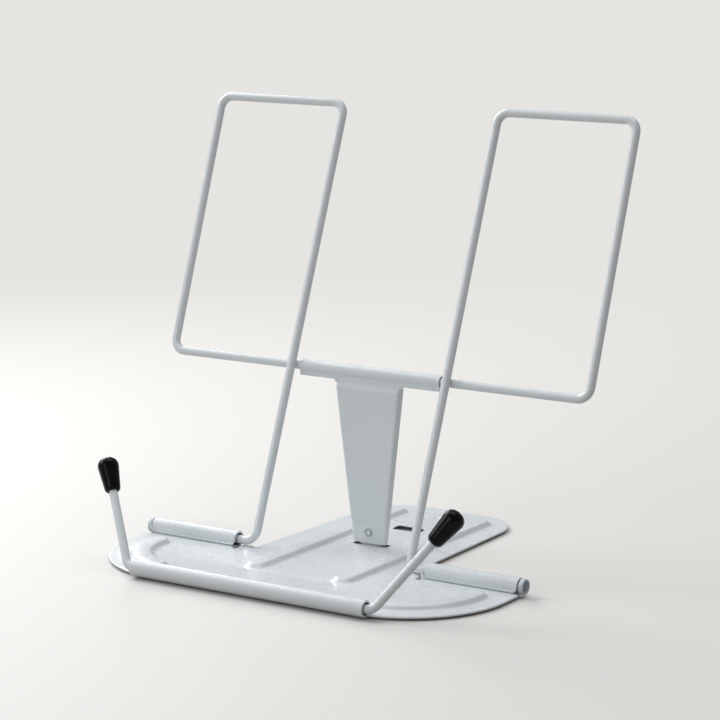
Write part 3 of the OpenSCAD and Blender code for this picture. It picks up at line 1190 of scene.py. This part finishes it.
@dataclass
class RackFrame:
    """One wire frame of the rack, with the weld where it crosses itself."""

    leg_end: float = 85.6
    upright_x: float = 36.5
    outer_x: float = 98.0
    height: float = 183.7
    cross: float = 74.0
    behind: float = 3.1
    bend: float = 5.0
    cross_end: float = 1.5
    weld_size: Triple = (2.1, 0.8, 1.9)

    def place(self, x: float, back: float, along: float) -> Vector:
        """A point of the leaning rack.

        Args:
            x: The place along X.
            back: The distance behind the uprights.
            along: The distance from the pivot, along the uprights.

        Returns:
            The point.
        """
        c, s = math.cos(RACK_LEAN), math.sin(RACK_LEAN)
        return Vector((x, back * c + along * s, PIVOT_Z + along * c - back * s))

    def wire(self, side: Side) -> Piece:
        """The bent wire, from its leg in the base to its end in the prop's sleeve.

        Args:
            side: The side that it stands on.

        Returns:
            The new piece.
        """
        corners = [
            self.place(self.leg_end, 0.0, 0.0), self.place(self.upright_x, 0.0, 0.0),
            self.place(self.upright_x, 0.0, self.height),
            self.place(self.outer_x, 0.0, self.height),
            self.place(self.outer_x, self.behind, self.cross),
            self.place(self.cross_end, self.behind, self.cross),
        ]
        shell = Shell()
        sweep(shell, *rounded_wire(corners, self.bend, WIRE_R), sides=32)
        return shell.make(f"frame_wire_{side.word}", side, sharp=60.0)

    def weld(self, side: Side) -> Piece:
        """The small lumpy weld between the upright and the crossbar.

        Args:
            side: The side that it stands on.

        Returns:
            The new piece.
        """
        shell = Shell()
        rings, rows, sides = [], 12, 28
        wide, deep, high = self.weld_size
        for i in range(rows + 1):
            polar = math.pi * i / rows
            ring = []
            for k in range(sides):
                a = 2.0 * math.pi * k / sides
                x, y = math.sin(polar) * math.cos(a), math.sin(polar) * math.sin(a)
                z = math.cos(polar)
                lump = 1.0 + 0.06 * math.sin(3.0 * a + 1.0) * math.sin(2.0 * polar)
                lump += 0.04 * math.cos(5.0 * a + 2.0 * polar)
                ring.append(self.place(self.upright_x + wide * x * lump,
                                       self.behind / 2.0 + deep * z * lump,
                                       self.cross + high * y * lump))
            rings.append(shell.ring(ring))
        shell.loft(rings)
        return shell.make(f"frame_weld_{side.word}", side, sharp=80.0)

    def build(self, finishes: Finishes) -> None:
        """Makes and dresses both frames.

        Args:
            finishes: The stand's materials.
        """
        for side in Side:
            dress(self.wire(side), finishes.enamel, "rack", f"frame_{side.word}")
            dress(self.weld(side), finishes.enamel, "rack")


# ---------------------------------------------------------------- the prop


@dataclass
class Prop:
    """The folding prop: a channel of sheet with a rolled sleeve, a catch and a rivet."""

    hang_y: float = 29.650422
    hang_z: float = 71.870925
    tilt: float = math.radians(1.4)
    length: float = 69.991818
    thick: float = 0.9
    sleeve_half: float = 32.9
    sleeve_r: float = 2.7
    hem: float = 3.4
    top_half: float = 15.1
    foot_half: float = 7.6
    neck_fillet: float = 1.2
    fold_top: float = 3.7
    crease: float = 5.5
    crease_lead: float = 1.9
    crease_run: float = 3.0
    face: float = -3.62
    neck_face: float = -2.4
    fold_r: float = 0.6
    flange_top: float = 3.6
    flange_foot: float = 2.4
    rivet_up: float = 5.1
    rivet_hole: float = 1.7
    press_up: float = 4.6
    press_deep: float = 0.12
    foot_trim: float = 0.7

    @property
    def edge_down(self) -> float:
        """The distance of the web's lower edge under the sleeve's axis."""
        return self.length - self.foot_trim

    def hung(self, x: float, y: float, z: float) -> Vector:
        """A point of the hanging prop, from the sleeve's axis."""
        c, s = math.cos(self.tilt), math.sin(self.tilt)
        return Vector((x, self.hang_y + y * c - z * s, self.hang_z + y * s + z * c))

    def half_width(self, down: float) -> float:
        """Half of the web's width.

        Args:
            down: The distance under the sleeve's axis.

        Returns:
            The half width, with the fillet that widens it under the sleeve.
        """
        fillet = 1.0 - min(1.0, max(0.0, down - self.hem) / self.neck_fillet)
        flare = self.neck_fillet * (1.0 - math.sqrt(max(0.0, 1.0 - fillet * fillet)))
        share = (down - self.crease) / (self.length - self.crease)
        return self.top_half + (self.foot_half - self.top_half) * share + flare

    def folded(self, down: float) -> float:
        """How far the flanges have grown out of the web, from 0 under the hem to 1."""
        return smooth_step((down - self.fold_top) / 0.8)

    def flat_half(self, down: float) -> float:
        """Half of the width that stays flat between the two folds."""
        return self.half_width(down) - (self.thick / 2.0 + self.fold_r) * self.folded(down)

    def middle_y(self, down: float) -> float:
        """The place of the web's middle surface, front to back.

        Args:
            down: The distance under the sleeve's axis.

        Returns:
            The place, behind the crease under the sleeve and the pressed line over the rivet.
        """
        step = smooth_step((down - self.crease + self.crease_lead) / self.crease_run)
        press_at = self.length - self.rivet_up - self.press_up
        press = self.press_deep * smooth_step((down - press_at) / 0.7)
        return self.neck_face + (self.face - self.neck_face) * step + press + self.thick / 2.0

    def levels(self) -> list[float]:
        """The places of the web's rows of points.

        Returns:
            Distances under the sleeve's axis, closer together where the sheet bends.
        """
        rivet = self.length - self.rivet_up
        press = rivet - self.press_up
        out = [self.hem + d for d in (0.0, 0.15)]
        out += [self.fold_top + 0.16 * k for k in range(20)]
        out += [self.crease + d for d in (1.6, 2.4, 4.0)] + [14.0, 26.0, 38.0, 50.0, 57.0]
        out += [press + d for d in (-0.3, 0.0, 0.2, 0.4, 0.6, 0.8, 1.1)]
        out += [rivet + d for d in (-2.2, -1.5, -0.75, 0.0, 0.75, 1.5, 2.2)]
        return out + [self.edge_down - d for d in (1.6, 1.2, 0.9, 0.6, 0.35, 0.15, 0.0)]

    def sleeve(self, shell: Shell, shares: list[float]) -> None:
        """Rolls the sleeve, from the free edge behind the hem round to the hem itself.

        Args:
            shell: The shell that takes it.
            shares: The places of the web's columns, as shares of its half width.
        """
        wide, ends = self.half_width(self.hem), self.sleeve_half
        outer = [wide + 0.4, wide + 1.2, 24.0]
        outer += [ends - d for d in (3.0, 2.6, 2.3, 1.2, 0.5, 0.2, 0.0)]
        columns = [-x for x in reversed(outer)] + [s * wide for s in shares] + outer
        neck_y, free_y = self.middle_y(self.hem), self.neck_face + self.thick * 1.56
        mid = self.sleeve_r - self.thick / 2.0
        section = [(free_y, 0.15 - self.hem), (free_y, 0.55 - self.hem),
                   (free_y + 0.05, 0.95 - self.hem)]
        section += arc_points((0.0, 0.0), mid, -98.0, 222.0, 34)
        section += [(neck_y + 0.22, -1.8), (neck_y + 0.12, -2.1), (neck_y + 0.02, -2.45),
                    (neck_y, -2.8), (neck_y, -self.hem)]
        rows = []
        for y, z in section:
            bell = [1.0 + 0.09 * smooth_step((abs(x) - ends + 2.6) / 0.4) for x in columns]
            rows.append([self.hung(x, y * b if z > -2.0 else y, z * b if z > -2.0 else z)
                         for x, b in zip(columns, bell)])
        shell.grid(rows)

    def flange(self, shell: Shell, side: float) -> None:
        """Folds one flange back from the web.

        Args:
            shell: The shell that takes it.
            side: 1 for the right flange, -1 for the left one.
        """
        rows = []
        for down in self.levels():
            if down < self.fold_top:
                continue
            grown = self.folded(down)
            flat, y, bend = self.flat_half(down), self.middle_y(down), self.fold_r * grown
            share = (down - self.crease) / (self.length - self.crease)
            depth = self.flange_top + (self.flange_foot - self.flange_top) * share
            # Its top and bottom corners are rounded off
            depth -= 1.1 * (1.0 - smooth_step(down - self.fold_top))
            depth -= 0.9 * smooth_step((down - self.edge_down + 0.9) / 0.9)
            straight = max(self.face + depth - y - bend, 0.05) * grown
            turn = arc_points((flat, y + bend), bend, -90.0, 0.0, 6)
            turn += [(flat + bend, y + bend + straight * t) for t in (0.5, 1.0)]
            rows.append([self.hung(side * px, py, -down) for px, py in turn])
        shell.grid(rows)

    def web(self, shell: Shell, shares: list[float]) -> None:
        """Lays the flat of the channel, with the rivet's hole in it.

        Args:
            shell: The shell that takes it.
            shares: The places of its columns, as shares of its half width.
        """
        levels, hole = self.levels(), self.length - self.rivet_up
        rows = [shell.ring([self.hung(s * self.flat_half(d), self.middle_y(d), -d)
                            for s in shares]) for d in levels]
        low, high = len(shares) // 2 - 3, len(shares) // 2 + 3
        near = [i for i, d in enumerate(levels) if abs(d - hole) < 2.3]
        first, last = near[0], near[-1]
        for i, (a, b) in enumerate(zip(rows, rows[1:])):
            if first <= i < last:
                shell.skin(a[:low + 1], b[:low + 1], closed=False)
                shell.skin(a[high:], b[high:], closed=False)
            else:
                shell.skin(a, b, closed=False)
        loop = rows[first][low:high] + [rows[i][high] for i in range(first, last)]
        loop += rows[last][high:low:-1] + [rows[i][low] for i in range(last, first, -1)]
        centre = self.hung(0.0, self.middle_y(hole), -hole)
        spokes = [(shell.points[i] - centre).normalized() for i in loop]
        shell.skin(loop, shell.ring([centre + d * self.rivet_hole for d in spokes]))

    def sheet(self) -> Piece:
        """The channel and its sleeve, as one bent sheet that thins at the sleeve's mouths.

        Returns:
            The new piece.
        """
        shell = Shell()
        shares = [k / 10.0 for k in range(-10, 11)]
        self.sleeve(shell, shares)
        self.web(shell, shares)
        for side in Side:
            self.flange(shell, side.value)
        piece = shell.make("prop_sheet", sharp=60.0)
        body = piece.vertex_groups.new(name="full_sheet")
        mouth = (self.sleeve_half - 2.4) * MM
        inner = [v.index for v in piece.data.vertices if abs(v.co.x) < mouth]
        body.add(inner, 1.0, "REPLACE")
        sheet_form(piece, self.thick, 0.18)
        piece.modifiers["sheet"].vertex_group = body.name
        piece.modifiers["sheet"].thickness_vertex_group = 0.55
        return piece

    def catch(self) -> Piece:
        """The catch plate behind the foot, with its tongue.

        Returns:
            The new piece.
        """
        shell = Shell()
        y = self.face + self.thick * 1.5 + 0.02
        half, up, tongue, down = 5.2, 9.5, 4.0, 1.4
        xs = [-half, -tongue, -2.0, 0.0, 2.0, tongue, half]
        foot = -self.length
        shell.grid([[self.hung(x, y, foot + z) for x in xs] for z in (0.0, 0.6, up - 0.6, up)])
        shell.grid([[self.hung(x, y, foot + z) for x in xs[1:-1]] for z in (-down, -0.5, 0.0)])
        return sheet_form(shell.make("catch_plate", sharp=60.0), self.thick, 0.2)

    def rivet(self) -> Piece:
        """The tubular rivet: a dished head in front and a flat tail behind.

        Returns:
            The new piece.
        """
        shell = Shell()
        head, shank = 1.8, 1.0
        grip = self.thick * 2.0
        profile = [
            (-0.14, 0.0), (-0.16, 0.4), (-0.3, 0.66), (-0.52, 0.86), (-0.58, 0.98),
            (-0.55, 1.1), (-0.42, 1.18), (-0.2, 1.2), (0.7, 1.18), (0.75, 1.23),
            (0.75, 1.61), (0.7, 1.66), (-0.2, 1.64), (-0.32, 1.67), (-0.33, 1.73),
            (-0.22, head), (0.1, head), (0.1, 1.72), (0.85, 1.72), (0.85, shank),
            (grip, shank),
            (grip, 1.38), (grip + 0.28, 1.4), (grip + 0.5, 1.2), (grip + 0.56, 0.9),
            (grip + 0.5, 0.0),
        ]
        origin = self.hung(0.0, self.face, -self.length + self.rivet_up)
        axis = self.hung(0.0, self.face + 1.0, -self.length + self.rivet_up) - origin
        lathe(shell, origin, axis, profile, 40)
        return shell.make("foot_rivet_turned", sharp=60.0)

    def build(self, finishes: Finishes) -> None:
        """Makes and dresses the prop, its catch and its rivet.

        Args:
            finishes: The stand's materials.
        """
        sheet = self.sheet()
        dress(sheet, finishes.enamel, "prop", "prop_arm")
        # The sleeve's bore takes the dark bare-steel colour, painted shade inside the tube
        bare_bore(sheet, finishes, (self.hang_y, self.hang_z), self.sleeve_r)
        dress(self.catch(), finishes.enamel, "prop", "foot_catch")
        dress(self.rivet(), finishes.enamel, "prop", "foot_rivet")


# ---------------------------------------------------------------- the page arms


@dataclass
class PageArm:
    """A page arm: a bent wire that turns in the front rolled edge, and its soft tip."""

    corner_x: float = 56.5
    splay: float = math.radians(31.4)
    back: float = math.radians(28.8)
    length: float = 46.4
    bend: float = 5.0
    tip_len: float = 15.0
    tip_cap: float = 1.6
    mouth_r: float = 3.15
    shoulder_r: float = 4.25
    leg: float = 39.0

    @property
    def leg_start(self) -> float:
        """Where the arm's leg starts inside the rolled edge."""
        return self.corner_x - self.bend * math.tan((math.pi / 2 - self.splay) / 2) - self.leg

    @property
    def heading(self) -> Vector:
        """The direction of the arm above its bend.

        Returns:
            The direction, of length 1.
        """
        up = math.cos(self.splay)
        return Vector((math.sin(self.splay), up * math.sin(self.back),
                       up * math.cos(self.back)))

    def wire(self, side: Side) -> Piece:
        """The arm's wire, with the swaged head at its inner end.

        Args:
            side: The side that it stands on.

        Returns:
            The new piece.
        """
        shell = Shell()
        corner = Vector((self.corner_x, -WING_DEPTH, PIVOT_Z))
        start = Vector((self.leg_start, -WING_DEPTH, PIVOT_Z))
        corners = [start, corner, corner + self.heading * self.length]
        sweep(shell, *rounded_wire(corners, self.bend, WIRE_R), sides=32)
        profile = [(0.0, 0.0), (0.0, 1.8), (0.3, 2.14), (1.7, 2.14), (2.0, 1.74), (2.0, 1.0)]
        lathe(shell, start, Vector((1, 0, 0)), profile, 32)
        return shell.make(f"arm_wire_{side.word}", side, sharp=60.0)

    def tip(self, side: Side) -> Piece:
        """The soft tip: a tapered sleeve with a bevelled mouth and a domed end.

        Args:
            side: The side that it sits on.

        Returns:
            The new piece.
        """
        shell = Shell()
        corner = Vector((self.corner_x, -WING_DEPTH, PIVOT_Z))
        end = self.length + self.tip_cap
        origin = corner + self.heading * (end - self.tip_len)
        bore, bevel = WIRE_R + 0.02, 1.15
        shoulder = self.tip_len - 3.1
        profile = [(5.0, bore), (0.35, bore), (0.08, bore + 0.06), (0.0, bore + 0.2),
                   (0.0, self.mouth_r - bevel + 0.1), (0.1, self.mouth_r - bevel + 0.3),
                   (bevel * 0.85, self.mouth_r - 0.1), (bevel * 1.05, self.mouth_r)]
        for k in range(1, 9):
            t = k / 8.0
            profile.append((bevel + (shoulder - bevel - 0.5) * t,
                            self.mouth_r + (self.shoulder_r - self.mouth_r) * t))
        dome = self.tip_len - shoulder
        profile += [(shoulder - 0.2, self.shoulder_r),
                    (shoulder + 0.05, self.shoulder_r - 0.06)]
        for k in range(1, 13):
            a = math.radians(90.0 * k / 12.0)
            radius = (self.shoulder_r - 0.12) * (math.cos(a) ** 0.9 if k < 12 else 0.0)
            profile.append((shoulder + 0.1 + (dome - 0.1) * math.sin(a) ** 1.05, radius))
        lathe(shell, origin, self.heading, profile, 56)
        return shell.make(f"arm_tip_skin_{side.word}", side, sharp=50.0)

    def build(self, finishes: Finishes) -> None:
        """Makes and dresses both arms.

        Args:
            finishes: The stand's materials.
        """
        for side in Side:
            body = f"{side.word}_arm"
            dress(self.wire(side), finishes.enamel, body, f"page_arm_{side.word}")
            dress(self.tip(side), finishes.black_rubber, body, f"arm_tip_{side.word}")


# ---------------------------------------------------------------- the studio


def aim(name: str, data: bpy.types.ID, place: Triple, look: Vector) -> Piece:
    """Places a lamp or a camera and turns it.

    Args:
        name: Its name.
        data: The lamp or the camera.
        place: Where it stands, in metres.
        look: The direction in which it looks.

    Returns:
        The new object.
    """
    made = bpy.data.objects.new(name, data)
    made.location = place
    made.rotation_mode = "QUATERNION"
    made.rotation_quaternion = look.to_track_quat("-Z", "Y")
    bpy.context.scene.collection.objects.link(made)
    return made


@dataclass(frozen=True)
class Softbox:
    """A soft lamp: where it stands, what it looks at, its size in metres and its power."""

    name: str
    place: Triple
    target: Triple
    size: Pair
    power: float

    def build(self) -> None:
        """Makes the lamp."""
        data = bpy.data.lights.new(self.name, "AREA")
        data.shape, data.energy = "RECTANGLE", self.power
        data.size, data.size_y = self.size
        aim(self.name, data, self.place, Vector(self.target) - Vector(self.place))


@dataclass
class Studio:
    """A pale floor, soft lamps, an even world and the photograph's camera."""

    eye: Triple = (0.55997, -0.86283, 0.27497)
    azimuth: float = 32.8623
    elevation: float = 10.7651
    lens: float = 132.5
    paper: Triple = (0.86, 0.855, 0.845)
    bounce: Triple = (0.62, 0.60, 0.58)
    backdrop: Triple = (0.90, 0.895, 0.885)
    floor_half: float = 12.0
    floor_roughness: float = 0.6
    fade: Pair = (0.16, 0.75)
    room: float = 0.31
    lamps: tuple[Softbox, ...] = (
        Softbox("key", (-1.3, -0.35, 0.8), (0.0, 0.0, 0.06), (0.7, 0.7), 6.7),
        Softbox("back_left", (-1.1, 0.7, 0.7), (0.0, 0.0, 0.08), (0.7, 0.7), 10.0),
        Softbox("high_left", (-1.5, 0.1, 1.6), (0.0, 0.0, 0.06), (0.9, 0.9), 9.0),
        Softbox("front", (-0.3, -1.5, 0.8), (0.0, 0.0, 0.06), (0.8, 0.8), 5.0),
        Softbox("top", (0.0, 0.3, 1.4), (0.0, 0.0, 0.0), (1.0, 0.8), 6.3),
    )

    def camera(self) -> None:
        """Sets the camera at the photograph's place and angle."""
        data = bpy.data.cameras.new("photo_camera")
        data.lens, data.sensor_width = self.lens, 36.0
        data.clip_start, data.clip_end = 0.01, 100.0
        a, e = math.radians(self.azimuth), math.radians(self.elevation)
        look = Vector((-math.sin(a) * math.cos(e), math.cos(a) * math.cos(e), -math.sin(e)))
        bpy.context.scene.camera = aim("photo_camera", data, self.eye, look)

    def floor(self) -> None:
        """Lays the pale floor that the stand rests on."""
        shell, far = Shell(), self.floor_half / MM
        shell.fill(shell.ring([Vector((x * far, y * far, 0.0))
                               for x, y in ((-1, -1), (1, -1), (1, 1), (-1, 1))]))
        piece = shell.make("floor")
        material = bpy.data.materials.new("pale_floor")
        material.use_nodes = True
        sheet = NodeSheet(material.node_tree)
        shader = material.node_tree.nodes["Principled BSDF"]
        # Far from the stand the floor turns into an even backdrop for the eye and for reflections
        span = sheet.add("ShaderNodeVectorMath", operation="LENGTH")
        sheet.join(sheet.add("ShaderNodeTexCoord").outputs["Object"], span.inputs[0])
        fade = sheet.add("ShaderNodeMapRange", interpolation_type="SMOOTHSTEP")
        sheet.feed(fade, {"From Min": self.fade[0], "From Max": self.fade[1],
                          "Value": span.outputs["Value"]})
        rays = sheet.add("ShaderNodeLightPath").outputs
        seen = sheet.maths("MAXIMUM", rays["Is Camera Ray"],
                           sheet.maths("MAXIMUM", rays["Is Glossy Ray"],
                                       rays["Is Transmission Ray"]))
        # The floor shows pale, and lights the stand from below as a darker table would
        tone = sheet.mixed(seen, colour(*self.bounce), colour(*self.paper))
        sheet.feed(shader, {"Base Color": tone, "Roughness": self.floor_roughness})
        glow = sheet.add("ShaderNodeEmission")
        sheet.feed(glow, {"Color": colour(*self.backdrop)})
        mix = sheet.add("ShaderNodeMixShader")
        sheet.join(sheet.maths("MULTIPLY", seen, fade.outputs[0]), mix.inputs[0])
        sheet.join(shader.outputs[0], mix.inputs[1])
        sheet.join(glow.outputs[0], mix.inputs[2])
        sheet.join(mix.outputs[0], material.node_tree.nodes["Material Output"].inputs[0])
        piece.data.materials.append(material)

    def world(self) -> None:
        """Lights the room evenly."""
        world = bpy.data.worlds.new("even_room")
        bpy.context.scene.world = world
        world.use_nodes = True
        back = world.node_tree.nodes["Background"]
        back.inputs["Color"].default_value = (1.0, 1.0, 1.0, 1.0)
        back.inputs["Strength"].default_value = self.room

    def build(self) -> None:
        """Builds the whole studio."""
        self.camera()
        self.floor()
        self.world()
        for lamp in self.lamps:
            lamp.build()
        bpy.context.scene.view_settings.view_transform = "Standard"


def main() -> None:
    """Builds the studio and every sub-assembly."""
    logging.basicConfig(level=logging.INFO, format="%(message)s")
    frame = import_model()
    Studio().build()
    finishes = Finishes.build()
    BasePlate().build(finishes)
    Bushings().build(frame, finishes)
    Pads().build(finishes)
    RackFrame().build(finishes)
    Prop().build(finishes)
    PageArm().build(finishes)


if __name__ == "__main__":
    main()
